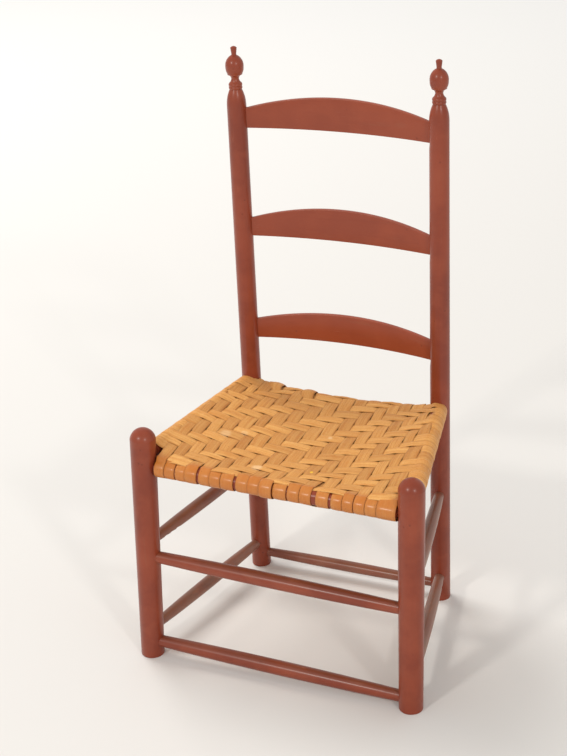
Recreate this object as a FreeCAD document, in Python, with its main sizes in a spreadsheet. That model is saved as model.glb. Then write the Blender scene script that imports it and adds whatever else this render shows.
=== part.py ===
import FreeCAD, Part
import math
import os
import Sketcher

# Ladderback chair: turned posts and rungs, three bent slats and a woven splint seat.
# X runs to the right as seen from the front, Y to the back and Z up. The origin is on the floor,
# under the middle of the chair. Left and right are as seen from the front.

doc = FreeCAD.newDocument("ladderback_chair")
sheet = doc.addObject("Spreadsheet::Sheet", "Sizes")

driving_sizes = [
    # Stance: distances between post axes
    ("overall_height", 965, "floor to the tip of a finial"),
    ("front_floor_spacing", 464, "between the front post axes at the floor"),
    ("front_top_spacing", 458, "between the front post axes at their tops"),
    ("back_spacing", 347, "between the back post axes"),
    ("floor_depth", 326, "front post axis to back post axis at the floor"),
    ("front_post_lean", 27, "backward lean of a front post over its height"),
    ("back_post_lean", 8, "backward lean of a back post over its height"),
    # Front posts
    ("front_post_left_height", 416, "floor to the top of the dome"),
    ("front_post_right_height", 404, "this side of the old frame stands lower"),
    ("front_post_diameter", 42.5, "just under the dome"),
    ("front_foot_diameter", 39.5, "at the floor"),
    ("front_dome_height", 18, "rounded top of a front post"),
    ("foot_round", 3, "worn edge at the floor"),
    # Back posts
    ("back_post_diameter", 34.5, "at the floor and up to the seat"),
    ("back_shoulder_diameter", 32, "just under the shoulder of the finial"),
    # Finial: heights below its tip, and diameters
    ("finial_shoulder_drop", 97, "where the post reaches its full width"),
    ("finial_ring_bottom_drop", 70, "underside of the ring"),
    ("finial_ring_top_drop", 60.5, "top of the ring"),
    ("finial_neck_drop", 53.5, "thinnest place between ring and egg"),
    ("finial_step_drop", 46, "small cut step under the egg"),
    ("finial_egg_drop", 34, "widest place of the egg"),
    ("finial_egg_top_drop", 14.5, "where the egg meets the nipple"),
    ("finial_waist_drop", 12, "waist of the nipple"),
    ("finial_nipple_drop", 2.6, "widest place of the nipple"),
    ("finial_ring_diameter", 22.4, "both beads of the ring"),
    ("finial_score_depth", 0.8, "score line between the beads"),
    ("finial_collar_diameter", 19.6, "shoulder where it meets the ring"),
    ("finial_shoulder_swell", 1.6, "roundness of the shoulder"),
    ("finial_cove_depth", 1.6, "hollow between the neck and the step"),
    ("finial_step_height", 1.2, "upright edge of the step"),
    ("finial_egg_lower_swell", 0.8, "roundness of the egg under its widest place"),
    ("finial_egg_upper_swell", 3.6, "roundness of the egg over its widest place"),
    ("finial_neck_diameter", 12.6, ""),
    ("finial_step_diameter", 24.6, ""),
    ("finial_egg_diameter", 29.8, ""),
    ("finial_waist_diameter", 8.2, ""),
    ("finial_nipple_diameter", 10.6, ""),
    # Rungs: heights of their ends, and diameters at the middle and at the posts
    ("front_upper_left_height", 186, "front rungs, left end"),
    ("front_upper_right_height", 177, "front rungs, right end"),
    ("front_lower_left_height", 26, ""),
    ("front_lower_right_height", 18, ""),
    ("back_rung_height", 25, ""),
    ("side_upper_front_height", 208, "side rungs, front end"),
    ("side_upper_back_height", 211, "side rungs, back end"),
    ("side_lower_front_height", 47, ""),
    ("side_lower_back_height", 47, ""),
    ("front_rung_diameter", 25, ""),
    ("front_rung_end_diameter", 20, ""),
    ("side_rung_diameter", 22, ""),
    ("side_rung_end_diameter", 17, ""),
    ("back_rung_diameter", 20, ""),
    ("back_rung_end_diameter", 15.5, ""),
    # Seat rails
    ("front_rail_left_height", 350, ""),
    ("front_rail_right_height", 343, ""),
    ("back_rail_height", 357, ""),
    ("left_rail_front_height", 366, ""),
    ("right_rail_front_height", 359, ""),
    ("side_rail_back_height", 373, ""),
    ("rail_diameter", 26, ""),
    ("rail_tenon_diameter", 14, ""),
    ("rail_shoulder_length", 4, "taper from the tenon to the full rail"),
    ("back_rail_bow", 9, "how far the strips have pulled the back rail in"),
    ("back_rail_bow_angle", 40, "degrees from straight forward towards straight down"),
    # Joints
    ("front_tenon_depth", 17, "let into a front post"),
    ("back_tenon_depth", 13, "let into a back post"),
    ("tenon_clearance", 0.1, "round the tenon"),
    ("tenon_end_gap", 0.6, "between a tenon and the bottom of its socket"),
    # Slats: upright size of their ends, arch over them and backward bend
    ("slat_thickness", 7.5, ""),
    ("slat_tenon_depth", 12, "let into a back post"),
    ("slat_clearance", 0.2, "round the end of a slat in its mortise"),
    ("top_slat_drop", 135, "from the tip of a finial to the underside of the top slat"),
    ("bottom_slat_rise", 99, "from the back rail to the underside of the bottom slat"),
    ("top_slat_end", 34, ""),
    ("top_slat_arch", 21, ""),
    ("top_slat_bend", 21, ""),
    ("middle_slat_end", 32, ""),
    ("middle_slat_arch", 22.5, ""),
    ("middle_slat_bend", 18, ""),
    ("bottom_slat_end", 35, ""),
    ("bottom_slat_arch", 16, ""),
    ("bottom_slat_bend", 23, ""),
    # Woven seat
    ("splint_thickness", 1, ""),
    ("splint_rail_gap", 0.3, "between a strip and the rail it goes round"),
    ("splint_crossing_gap", 0.6, "between strips where they cross"),
    ("splint_post_gap", 1.5, "between the outer strips and the posts"),
    ("warp_width", 20, "strips from front to back"),
    ("weft_width", 18, "strips from side to side"),
    ("splint_spacing_gap", 0.8, "least gap between neighbouring strips"),
    ("splint_join_gap", 0.8, "where the ends of a strip meet underneath"),
    ("seat_sag", 13.5, "dip in the middle of both layers of the seat"),
]

for row, (alias, number, note) in enumerate(driving_sizes, start=1):
    sheet.set("A{}".format(row), alias)
    sheet.set("B{}".format(row), str(number))
    sheet.set("C{}".format(row), note)
    sheet.setAlias("B{}".format(row), alias)
doc.recompute()


class Size:
    """A size: its number now, and the expression on the sheet that gives it."""

    def __init__(self, value, text):
        self.value = value
        self.text = text

    def joined(self, sign, other, value, swap=False):
        pair = (size_of(other).text, self.text) if swap else (self.text, size_of(other).text)
        return Size(value, "({} {} {})".format(pair[0], sign, pair[1]))

    def __add__(self, other):
        return self.joined("+", other, self.value + size_of(other).value)

    def __sub__(self, other):
        return self.joined("-", other, self.value - size_of(other).value)

    def __rsub__(self, other):
        return self.joined("-", other, size_of(other).value - self.value, swap=True)

    def __mul__(self, other):
        return self.joined("*", other, self.value * size_of(other).value)

    def __truediv__(self, other):
        return self.joined("/", other, self.value / size_of(other).value)


def size_of(number):
    return number if isinstance(number, Size) else Size(float(number), str(float(number)))


def cell(alias):
    return Size(float(sheet.get(alias)), "Sizes." + alias)


def square_root(size):
    return Size(math.sqrt(size.value), "sqrt({})".format(size.text))


def vector(point):
    return FreeCAD.Vector(*[size.value for size in point])


def distance(start, end):
    squares = [(b - a) * (b - a) for a, b in zip(start, end)]
    return square_root(sum(squares[1:], squares[0]))


zero = size_of(0)

# Front to back, the chair is centred between its front feet and the back of the top slat.
front_reach = cell("front_foot_diameter") / 2
top_slat_middle_drop = cell("top_slat_drop") - cell("top_slat_end") / 2
top_slat_share = (cell("overall_height") - top_slat_middle_drop) / cell("overall_height")
back_reach = (cell("floor_depth") + cell("back_post_lean") * top_slat_share + cell("top_slat_bend")
              + cell("slat_thickness") / 2)
front_axis_y = (front_reach - back_reach) / 2


class Post:
    """A post's axis from the floor to its top, and its diameter where rungs go in."""

    def __init__(self, side, floor_x, top_x, floor_y, lean, height, foot_diameter, top_diameter):
        self.side = side
        self.foot = (floor_x * side, floor_y, zero)
        self.top = (top_x * side, floor_y + lean, height)
        self.height = height
        self.foot_diameter = foot_diameter
        self.top_diameter = top_diameter

    def share(self, height):
        return size_of(height) / self.height

    def axis_at(self, height):
        share = self.share(height)
        return tuple(a + (b - a) * share for a, b in zip(self.foot, self.top))

    def radius_at(self, height):
        return (self.foot_diameter + (self.top_diameter - self.foot_diameter) * self.share(height)) / 2

    def placement(self):
        direction = vector(self.top) - vector(self.foot)
        return FreeCAD.Placement(vector(self.foot), FreeCAD.Rotation(FreeCAD.Vector(0, 0, 1), direction))


def front_post(side, height):
    return Post(side, cell("front_floor_spacing") / 2, cell("front_top_spacing") / 2,
                front_axis_y, cell("front_post_lean"), cell(height),
                cell("front_foot_diameter"), cell("front_post_diameter"))


def back_post(side):
    half = cell("back_spacing") / 2
    return Post(side, half, half,
                front_axis_y + cell("floor_depth"), cell("back_post_lean"), cell("overall_height"),
                cell("back_post_diameter"), cell("back_shoulder_diameter"))


left, right = -1, 1
front_left = front_post(left, "front_post_left_height")
front_right = front_post(right, "front_post_right_height")
back_left = back_post(left)
back_right = back_post(right)


# Sketches and turned bodies

smallest_cut = 1  # cubic millimetres


def origin_plane(body, role):
    return next(feature for feature in body.Origin.OriginFeatures if feature.Role == role)


def new_sketch(body, name, role):
    sketch = body.newObject("Sketcher::SketchObject", name)
    sketch.AttachmentSupport = [(origin_plane(body, role), "")]
    sketch.MapMode = "FlatFace"
    return sketch


def constrain(sketch, kind, *reference, size=None):
    if size is None:
        sketch.addConstraint(Sketcher.Constraint(kind, *reference))
        return
    index = sketch.addConstraint(Sketcher.Constraint(kind, *reference, size.value))
    sketch.setExpression("Constraints[{}]".format(index), size.text)


def pin_vertex(sketch, edge, end, point):
    """Ties one end of an edge to its distances from the sketch's origin."""
    for kind, axis, size in (("DistanceX", -2, point[0]), ("DistanceY", -1, point[1])):
        if size is zero:
            constrain(sketch, "PointOnObject", edge, end, axis)
        else:
            constrain(sketch, kind, -1, 1, edge, end, size=size)


def arc_radius(start, end, rise):
    chord = distance(start, end)
    return (chord * chord / 4 + rise * rise) / (rise * 2)


def draw_outline(sketch, points, arcs):
    """A closed outline through the points. An edge's entry in arcs has its rise, and which way
    it bulges: 1 to the right of its run and -1 to the left."""
    count = len(points)
    for number, start in enumerate(points):
        end = points[(number + 1) % count]
        a = FreeCAD.Vector(start[0].value, start[1].value, 0)
        b = FreeCAD.Vector(end[0].value, end[1].value, 0)
        if number not in arcs:
            sketch.addGeometry(Part.LineSegment(a, b), False)
            continue
        rise, turn = arcs[number]
        across = FreeCAD.Vector(b.y - a.y, a.x - b.x, 0).normalize()
        middle = (a + b) / 2 + across * rise.value * turn
        ends = (a, b) if turn > 0 else (b, a)
        sketch.addGeometry(Part.Arc(ends[0], middle, ends[1]), False)
    far_ends = [far_end(sketch.Geometry[number], points[(number + 1) % count]) for number in range(count)]
    for number, point in enumerate(points):
        following = (number + 1) % count
        constrain(sketch, "Coincident", number, far_ends[number], following, 3 - far_ends[following])
        pin_vertex(sketch, number, 3 - far_ends[number], point)
    for number, (rise, turn) in arcs.items():
        radius = arc_radius(points[number], points[(number + 1) % count], rise)
        constrain(sketch, "Radius", number, size=radius)


def far_end(edge, target):
    """Which of an edge's two ends, 1 or 2, is the next point of the outline."""
    reaches = [math.hypot(end.x - target[0].value, end.y - target[1].value)
               for end in (edge.StartPoint, edge.EndPoint)]
    return reaches.index(min(reaches)) + 1


def turned_body(name, points, arcs, placement):
    """A body turned about its own Z axis from an outline of radii and heights."""
    body = doc.addObject("PartDesign::Body", name)
    body.Label = name
    sketch = new_sketch(body, name + "_outline", "XZ_Plane")
    draw_outline(sketch, points, arcs)
    turning = body.newObject("PartDesign::Revolution", name + "_turning")
    turning.Profile = sketch
    turning.ReferenceAxis = (sketch, ["V_Axis"])
    turning.Angle = 360
    body.Placement = placement
    doc.recompute()
    return body


def local_placement(body, base, z_direction, x_direction=None):
    """A place in the chair's frame, given in the body's own frame."""
    if x_direction is None:
        rotation = FreeCAD.Rotation(FreeCAD.Vector(0, 0, 1), z_direction)
    else:
        rotation = FreeCAD.Rotation(x_direction, FreeCAD.Vector(0, 0, 0), z_direction, "ZXY")
    return body.Placement.inverse() * FreeCAD.Placement(base, rotation)


def cut_off(body, name, volume_before):
    """Recomputes the body and makes sure that its last cut took material away."""
    doc.recompute()
    volume = body.Shape.Volume
    if not volume < volume_before - smallest_cut:
        raise ValueError("{} cuts nothing".format(name))
    return volume


# Rungs and rails, each between two posts

class Rung:
    """A turned bar between two posts: end points on their axes, tenons and sockets."""

    def __init__(self, name, start_post, start_height, end_post, end_height, depths, tenon_diameter):
        self.name = name
        self.posts = (start_post, end_post)
        self.heights = (size_of(start_height), size_of(end_height))
        self.depths = depths
        self.tenon_radius = tenon_diameter / 2
        self.start = start_post.axis_at(start_height)
        self.end = end_post.axis_at(end_height)
        self.span = distance(self.start, self.end)
        self.direction = (vector(self.end) - vector(self.start)).normalize()
        self.cores = tuple(post.radius_at(height) - depth
                           for post, height, depth in zip(self.posts, self.heights, depths))
        self.length = self.span - self.cores[0] - self.cores[1]

    def placement(self):
        base = vector(self.start) + self.direction * self.cores[0].value
        return FreeCAD.Placement(base, FreeCAD.Rotation(FreeCAD.Vector(0, 0, 1), self.direction))

    def socket(self, body, end):
        """Bores the round socket for one end, 0 or 1, into a post's body."""
        inward = self.direction if end == 0 else self.direction * -1
        axis_point = vector((self.start, self.end)[end])
        bottom = axis_point + inward * (self.cores[end].value - cell("tenon_end_gap").value)
        bore = body.newObject("PartDesign::SubtractiveCylinder", "{}_socket_{}".format(self.name, end))
        bore.setExpression("Radius", (self.tenon_radius + cell("tenon_clearance")).text)
        bore.setExpression("Height", (self.depths[end] * 2).text)
        bore.Placement = local_placement(body, bottom, inward)


front_depths = (cell("front_tenon_depth"), cell("front_tenon_depth"))
side_depths = (cell("front_tenon_depth"), cell("back_tenon_depth"))
back_depths = (cell("back_tenon_depth"), cell("back_tenon_depth"))


def rung(name, start_post, start_height, end_post, end_height, depths, diameter):
    return Rung(name, start_post, cell(start_height), end_post, cell(end_height), depths, cell(diameter))


front_rungs = [
    rung("upper_front_rung", front_left, "front_upper_left_height", front_right, "front_upper_right_height",
         front_depths, "front_rung_end_diameter"),
    rung("lower_front_rung", front_left, "front_lower_left_height", front_right, "front_lower_right_height",
         front_depths, "front_rung_end_diameter"),
]
left_rungs = [
    rung("upper_left_rung", front_left, "side_upper_front_height", back_left, "side_upper_back_height",
         side_depths, "side_rung_end_diameter"),
    rung("lower_left_rung", front_left, "side_lower_front_height", back_left, "side_lower_back_height",
         side_depths, "side_rung_end_diameter"),
]
right_rungs = [
    rung("upper_right_rung", front_right, "side_upper_front_height", back_right, "side_upper_back_height",
         side_depths, "side_rung_end_diameter"),
    rung("lower_right_rung", front_right, "side_lower_front_height", back_right, "side_lower_back_height",
         side_depths, "side_rung_end_diameter"),
]
back_rungs = [
    rung("back_rung", back_left, "back_rung_height", back_right, "back_rung_height",
         back_depths, "back_rung_end_diameter"),
]
front_rail = rung("front_seat_rail", front_left, "front_rail_left_height", front_right,
                  "front_rail_right_height", front_depths, "rail_tenon_diameter")
left_rail = rung("left_seat_rail", front_left, "left_rail_front_height", back_left,
                 "side_rail_back_height", side_depths, "rail_tenon_diameter")
right_rail = rung("right_seat_rail", front_right, "right_rail_front_height", back_right,
                  "side_rail_back_height", side_depths, "rail_tenon_diameter")
back_rail = rung("back_seat_rail", back_left, "back_rail_height", back_right, "back_rail_height",
                 back_depths, "rail_tenon_diameter")


def make_rung(bar, middle_diameter):
    """A rung swells evenly from its tenons to its middle."""
    radius = bar.tenon_radius
    swell = cell(middle_diameter) / 2 - radius
    first, last = bar.depths[0], bar.length - bar.depths[1]
    points = [(zero, zero), (radius, zero), (radius, first),
              (radius, last), (radius, bar.length), (zero, bar.length)]
    return turned_body(bar.name, points, {2: (swell, 1)}, bar.placement())


def make_straight_rail(bar):
    """A seat rail keeps one diameter between its tapered shoulders."""
    tenon, full = bar.tenon_radius, cell("rail_diameter") / 2
    shoulder = cell("rail_shoulder_length")
    first, last = bar.depths[0], bar.length - bar.depths[1]
    points = [(zero, zero), (tenon, zero), (tenon, first), (full, first + shoulder),
              (full, last - shoulder), (tenon, last), (tenon, bar.length), (zero, bar.length)]
    return turned_body(bar.name, points, {}, bar.placement())


def make_bowed_rail(bar):
    """The back rail is bent forward and down between its two straight tenons."""
    body = doc.addObject("PartDesign::Body", bar.name)
    body.Label = bar.name
    first, last = bar.depths[0], bar.length - bar.depths[1]
    bow = cell("back_rail_bow")
    path = new_sketch(body, bar.name + "_path", "XY_Plane")
    ends = (FreeCAD.Vector(first.value, 0, 0), FreeCAD.Vector(last.value, 0, 0))
    crown = (ends[0] + ends[1]) / 2 + FreeCAD.Vector(0, bow.value, 0)
    path.addGeometry(Part.Arc(ends[0], crown, ends[1]), False)
    for end, size in ((1, last), (2, first)):
        constrain(path, "DistanceX", -1, 1, 0, end, size=size)
        constrain(path, "PointOnObject", 0, end, -1)
    constrain(path, "Radius", 0, size=arc_radius((first, zero), (last, zero), bow))
    section = new_sketch(body, bar.name + "_section", "YZ_Plane")
    section.AttachmentOffset = FreeCAD.Placement(FreeCAD.Vector(0, 0, first.value), FreeCAD.Rotation())
    radius = cell("rail_diameter") / 2
    section.addGeometry(Part.Circle(FreeCAD.Vector(), FreeCAD.Vector(0, 0, 1), radius.value), False)
    constrain(section, "Coincident", 0, 3, -1, 1)
    constrain(section, "Radius", 0, size=radius)
    doc.recompute()
    bend = body.newObject("PartDesign::AdditivePipe", bar.name + "_bend")
    bend.Profile = section
    bend.Spine = (path, ["Edge1"])
    doc.recompute()
    # The tenons reach a little way into the bend.
    overlap = cell("rail_shoulder_length")
    along_x = FreeCAD.Rotation(FreeCAD.Vector(0, 0, 1), FreeCAD.Vector(1, 0, 0))
    tenons = [("start", zero, first + overlap), ("end", last - overlap, bar.depths[1] + overlap)]
    for name, place, length in tenons:
        tenon = body.newObject("PartDesign::AdditiveCylinder", "{}_{}".format(bar.name, name))
        tenon.setExpression("Radius", bar.tenon_radius.text)
        tenon.setExpression("Height", length.text)
        tenon.Placement = FreeCAD.Placement(FreeCAD.Vector(place.value, 0, 0), along_x)
        doc.recompute()
    turn = FreeCAD.Rotation(bar.direction, bow_direction(), FreeCAD.Vector(0, 0, 0), "XYZ")
    body.Placement = FreeCAD.Placement(bar.placement().Base, turn)
    return body


def bow_direction():
    angle = math.radians(cell("back_rail_bow_angle").value)
    return FreeCAD.Vector(0, -math.cos(angle), -math.sin(angle))


# Slats, bent backward in plan and arched on top

class Slat:
    def __init__(self, name, height):
        self.name = name
        self.height = height
        self.end = cell(name + "_end")
        self.arch = cell(name + "_arch")
        self.bend = cell(name + "_bend")
        self.thickness = cell("slat_thickness")
        self.mid_height = self.height + self.end / 2
        self.post_radius = back_left.radius_at(self.mid_height)
        self.start = back_left.axis_at(self.mid_height)
        self.half = cell("back_spacing") / 2
        self.radius = (self.half * self.half + self.bend * self.bend) / (self.bend * 2)

    def offset_at(self, x):
        """How far behind the post axes the middle of the slat lies, at a place along it."""
        from_middle = self.half - x
        return square_root(self.radius * self.radius - from_middle * from_middle) - self.radius + self.bend

    def make(self):
        body = doc.addObject("PartDesign::Body", self.name)
        body.Label = self.name
        inset = self.post_radius - cell("slat_tenon_depth")
        near, far = inset, self.half * 2 - inset
        plan = new_sketch(body, self.name + "_plan", "XY_Plane")
        edge = self.offset_at(near)
        # The sketch starts at the front corner of an end, half a thickness before its middle.
        shift = self.thickness
        front, back = edge + shift - self.thickness / 2, edge + shift + self.thickness / 2
        rise = self.bend - edge
        points = [(near, front), (near, back), (far, back), (far, front)]
        draw_outline(plan, points, {1: (rise, -1), 3: (rise, 1)})
        blank = body.newObject("PartDesign::Pad", self.name + "_blank")
        blank.Profile = plan
        blank.setExpression("Length", (self.end + self.arch).text)
        body.Placement = FreeCAD.Placement(
            FreeCAD.Vector(self.start[0].value, self.start[1].value - shift.value, self.height.value),
            FreeCAD.Rotation())
        doc.recompute()
        volume = body.Shape.Volume
        outline = new_sketch(body, self.name + "_top", "XZ_Plane")
        first, last = self.post_radius, self.half * 2 - self.post_radius
        over = self.end + self.arch * 2
        points = [(zero, self.end), (first, self.end), (last, self.end), (self.half * 2, self.end),
                  (self.half * 2, over), (zero, over)]
        draw_outline(outline, points, {1: (self.arch, -1)})
        cut = body.newObject("PartDesign::Pocket", self.name + "_top_cut")
        cut.Profile = outline
        cut.Type = "ThroughAll"
        cut.Midplane = True
        cut_off(body, cut.Name, volume)
        return body

    def mortise(self, body, side):
        """Cuts the slot for one end into a back post's body."""
        clearance = cell("slat_clearance")
        depth = cell("slat_tenon_depth")
        surface = self.post_radius
        middle_x = surface - depth / 2
        slope = math.asin((self.half - middle_x).value / self.radius.value) * -side
        along = FreeCAD.Vector(math.cos(slope), math.sin(slope), 0)
        x = (self.start[0] + middle_x).value * -side
        y = (self.start[1] + self.offset_at(middle_x)).value
        box = body.newObject("PartDesign::SubtractiveBox", "{}_mortise".format(self.name))
        length = depth * 2 + cell("tenon_end_gap")
        width = self.thickness + clearance * 2
        height = self.end + clearance * 2
        box.setExpression("Length", length.text)
        box.setExpression("Width", width.text)
        box.setExpression("Height", height.text)
        # The box starts at the blind end and runs out of the post towards the middle.
        inward = along * -side
        across = FreeCAD.Vector(0, 0, 1).cross(inward)
        corner = (FreeCAD.Vector(x, y, (self.height - clearance).value)
                  - inward * (depth / 2 + cell("tenon_end_gap")).value
                  - across * (width / 2).value)
        box.Placement = local_placement(body, corner, FreeCAD.Vector(0, 0, 1), inward)


top_slat_height = cell("overall_height") - cell("top_slat_drop")
bottom_slat_height = cell("back_rail_height") + cell("bottom_slat_rise")
slats = [
    Slat("top_slat", top_slat_height),
    Slat("middle_slat", (top_slat_height + bottom_slat_height) / 2),
    Slat("bottom_slat", bottom_slat_height),
]


# Posts

def level_foot(body, name, post):
    """Cuts the leaning post level with the floor."""
    volume = body.Shape.Volume
    wide = post.foot_diameter * 2
    floor_cut = body.newObject("PartDesign::SubtractiveBox", name + "_floor_cut")
    for dimension in ("Length", "Width", "Height"):
        floor_cut.setExpression(dimension, wide.text)
    corner = vector(post.foot) - FreeCAD.Vector(wide.value / 2, wide.value / 2, wide.value)
    floor_cut.Placement = local_placement(body, corner, FreeCAD.Vector(0, 0, 1), FreeCAD.Vector(1, 0, 0))
    return cut_off(body, floor_cut.Name, volume)


def make_post(name, post, top_points, top_arcs, bars, slat_list=()):
    """A post: worn foot, tapered shaft, turned top, then its sockets and mortises."""
    foot = post.foot_diameter / 2
    edge = cell("foot_round")
    # The blank is longer than the post by the height of its worn edge, and is then cut level.
    blank_length = distance(post.foot, post.top) + edge
    base = [(zero, zero), (foot - edge, zero), (foot, edge * 2)]
    points = base + [(radius, blank_length - drop) for radius, drop in top_points]
    arcs = {1: (cap_rise(edge, edge * 2) / 2, 1)}
    arcs.update({number + len(base) - 1: arc for number, arc in top_arcs.items()})
    placement = post.placement()
    placement.Base = placement.Base - placement.Rotation.multVec(FreeCAD.Vector(0, 0, edge.value))
    body = turned_body(name, points, arcs, placement)
    volume = level_foot(body, name, post)
    for bar, end in bars:
        bar.socket(body, end)
        volume = cut_off(body, bar.name, volume)
    for slat in slat_list:
        slat.mortise(body, post.side)
        volume = cut_off(body, slat.name, volume)
    return body


def cap_rise(radius, height):
    """How far a cap's round edge stands out from the chord between its rim and its crown."""
    chord_squared = radius * radius + height * height
    sphere = chord_squared / (height * 2)
    return sphere - square_root(sphere * sphere - chord_squared / 4)


def make_front_post(name, post, side_bars):
    """A front post ends in a rounded dome."""
    end = 0 if post.side == left else 1
    radius = post.top_diameter / 2
    height = cell("front_dome_height")
    top = [(radius, height), (zero, zero)]
    bars = [(bar, end) for bar in front_rungs + [front_rail]] + [(bar, 0) for bar in side_bars]
    return make_post(name, post, top, {1: (cap_rise(radius, height), 1)}, bars)


def finial_point(name, diameter=None):
    """A corner of the finial's outline: its radius, and its height below the tip."""
    return cell("finial_{}_diameter".format(diameter or name)) / 2, cell("finial_{}_drop".format(name))


def make_back_post(name, post, side_bars):
    """A back post ends in a finial: tapered shoulder, scored ring, neck, egg and nipple."""
    end = 0 if post.side == left else 1
    ring = cell("finial_ring_diameter") / 2
    score = cell("finial_score_depth")
    ring_top, ring_bottom = cell("finial_ring_top_drop"), cell("finial_ring_bottom_drop")
    step = finial_point("step")
    nipple = finial_point("nipple")
    top = [
        (post.top_diameter / 2, cell("finial_shoulder_drop")),
        (cell("finial_collar_diameter") / 2, ring_bottom),
        (ring - score, ring_bottom),
        (ring - score, (ring_top + ring_bottom) / 2),
        (ring - score, ring_top),
        finial_point("neck"),
        step,
        (step[0], step[1] - cell("finial_step_height")),
        finial_point("egg"),
        finial_point("egg_top", "waist"),
        finial_point("waist"),
        nipple,
        (zero, zero),
    ]
    arcs = {
        1: (cell("finial_shoulder_swell"), 1),
        3: (score, 1),
        4: (score, 1),
        5: (cell("finial_cove_depth") / 2, -1),
        6: (cell("finial_cove_depth"), -1),
        8: (cell("finial_egg_lower_swell"), 1),
        9: (cell("finial_egg_upper_swell"), 1),
        12: (cap_rise(*nipple), 1),
    }
    bars = [(bar, end) for bar in back_rungs + [back_rail]] + [(bar, 1) for bar in side_bars]
    return make_post(name, post, top, arcs, bars, slats)


nodes = [
    make_front_post("front_post_left", front_left, left_rungs + [left_rail]),
    make_front_post("front_post_right", front_right, right_rungs + [right_rail]),
    make_back_post("back_post_left", back_left, left_rungs + [left_rail]),
    make_back_post("back_post_right", back_right, right_rungs + [right_rail]),
]
nodes += [make_rung(bar, "front_rung_diameter") for bar in front_rungs]
nodes += [make_rung(bar, "side_rung_diameter") for bar in left_rungs + right_rungs]
nodes += [make_rung(bar, "back_rung_diameter") for bar in back_rungs]
nodes += [make_straight_rail(bar) for bar in (front_rail, left_rail, right_rail)]
nodes.append(make_bowed_rail(back_rail))
nodes += [slat.make() for slat in slats]


# Woven seat. Warps run from front to back and wefts from side to side, and both take their
# heights where they cross from the same seat surface.

strip_thickness = cell("splint_thickness").value
inner_wrap = cell("rail_diameter").value / 2 + cell("splint_rail_gap").value
middle_wrap = inner_wrap + strip_thickness / 2
weave_offset = (strip_thickness + cell("splint_crossing_gap").value) / 2
warp_width = cell("warp_width").value
weft_width = cell("weft_width").value
spacing_gap = cell("splint_spacing_gap").value
post_gap = cell("splint_post_gap").value
seat_sag = cell("seat_sag").value
# Towards the side rails the weave rises late near the front and back, and gently half way.
late_rise_power = 8
gentle_rise_power = 2
# The dip is deepest a little in front of the middle, where people sit.
dip_skew_power = 0.75
# Two over and two under, one strip further along with each row.
twill_repeat = 4
warps_over = (0, 1)


def between(start, end, share):
    return start + (end - start) * share


def rail_point(bar, axis, place):
    """The middle of a rail where its coordinate along an axis, 0 for x or 1 for y, has a value."""
    start, end = vector(bar.start), vector(bar.end)
    point = between(start, end, (place - start[axis]) / (end[axis] - start[axis]))
    if bar is back_rail:
        half = (bar.length - bar.depths[0] - bar.depths[1]).value / 2
        bow = cell("back_rail_bow").value
        radius = (half ** 2 + bow ** 2) / (2 * bow)
        point = point + bow_direction() * (math.sqrt(radius ** 2 - place ** 2) - radius + bow)
    return point


def seat_height(x, y):
    """The middle of the weave: level between the front and back rails, up at the sides, dished."""
    front, back = rail_point(front_rail, 0, x), rail_point(back_rail, 0, x)
    side = rail_point(left_rail if x < 0 else right_rail, 1, y)
    depth = (y - front.y) / (back.y - front.y)
    fullness = 4 * depth * (1 - depth)
    sideways = min(abs(x / side.x), 1)
    level = between(front.z, back.z, depth) + middle_wrap
    power = between(late_rise_power, gentle_rise_power, fullness)
    lift = (side.z + middle_wrap - level) * sideways ** power
    skewed = depth ** dip_skew_power
    dip = seat_sag * 4 * skewed * (1 - skewed)
    return level + lift - dip * (1 - sideways ** 2)


def spread(clear, width):
    """How many strips lie side by side in a clear length, and their spacing."""
    count = int(clear // (width + spacing_gap))
    return count, clear / count


front_y = rail_point(front_rail, 0, 0).y
back_y = rail_point(back_rail, 0, 0).y
front_post_radius = front_left.radius_at(cell("front_rail_left_height")).value
back_post_radius = back_left.radius_at(cell("back_rail_height")).value
front_clear = (vector(front_rail.end) - vector(front_rail.start)).x - 2 * (front_post_radius + post_gap)
back_clear = cell("back_spacing").value - 2 * (back_post_radius + post_gap)
warp_count, warp_spacing = spread(front_clear, warp_width)
full_count = min(warp_count, int(back_clear // (warp_width + spacing_gap / 2)))
full_count -= (warp_count - full_count) % 2
back_spacing = min(warp_spacing, back_clear / full_count)
side_start = vector(left_rail.start).y + front_post_radius + post_gap
side_end = vector(left_rail.end).y - back_post_radius - post_gap
weft_count, weft_spacing = spread(side_end - side_start, weft_width)


def warp_x(number, edge, y):
    """The x of a warp's left (-1) or right (1) edge at a depth; the warps close up to the back."""
    spacing = between(warp_spacing, back_spacing, (y - front_y) / (back_y - front_y))
    return (number - (warp_count - 1) / 2) * spacing + edge * warp_width / 2


def weft_y(number, edge):
    return side_start + (number + 0.5) * weft_spacing + edge * weft_width / 2


def warp_is_over(warp, weft):
    return (warp - weft) % twill_repeat in warps_over


def rail_inside(y):
    """How far out a warp may reach beside the strips round the side rails."""
    side = min(abs(rail_point(bar, 1, y).x) for bar in (left_rail, right_rail))
    return side - middle_wrap - strip_thickness - spacing_gap


def crossed_wefts(warp):
    """The rows that a warp crosses before it reaches a side rail."""
    if abs(warp - (warp_count - 1) / 2) < full_count / 2:
        return list(range(weft_count))
    outward = 1 if warp > warp_count / 2 else -1
    return [weft for weft in range(weft_count)
            if abs(warp_x(warp, outward, weft_y(weft, 1))) < rail_inside(weft_y(weft, 1))]


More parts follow.
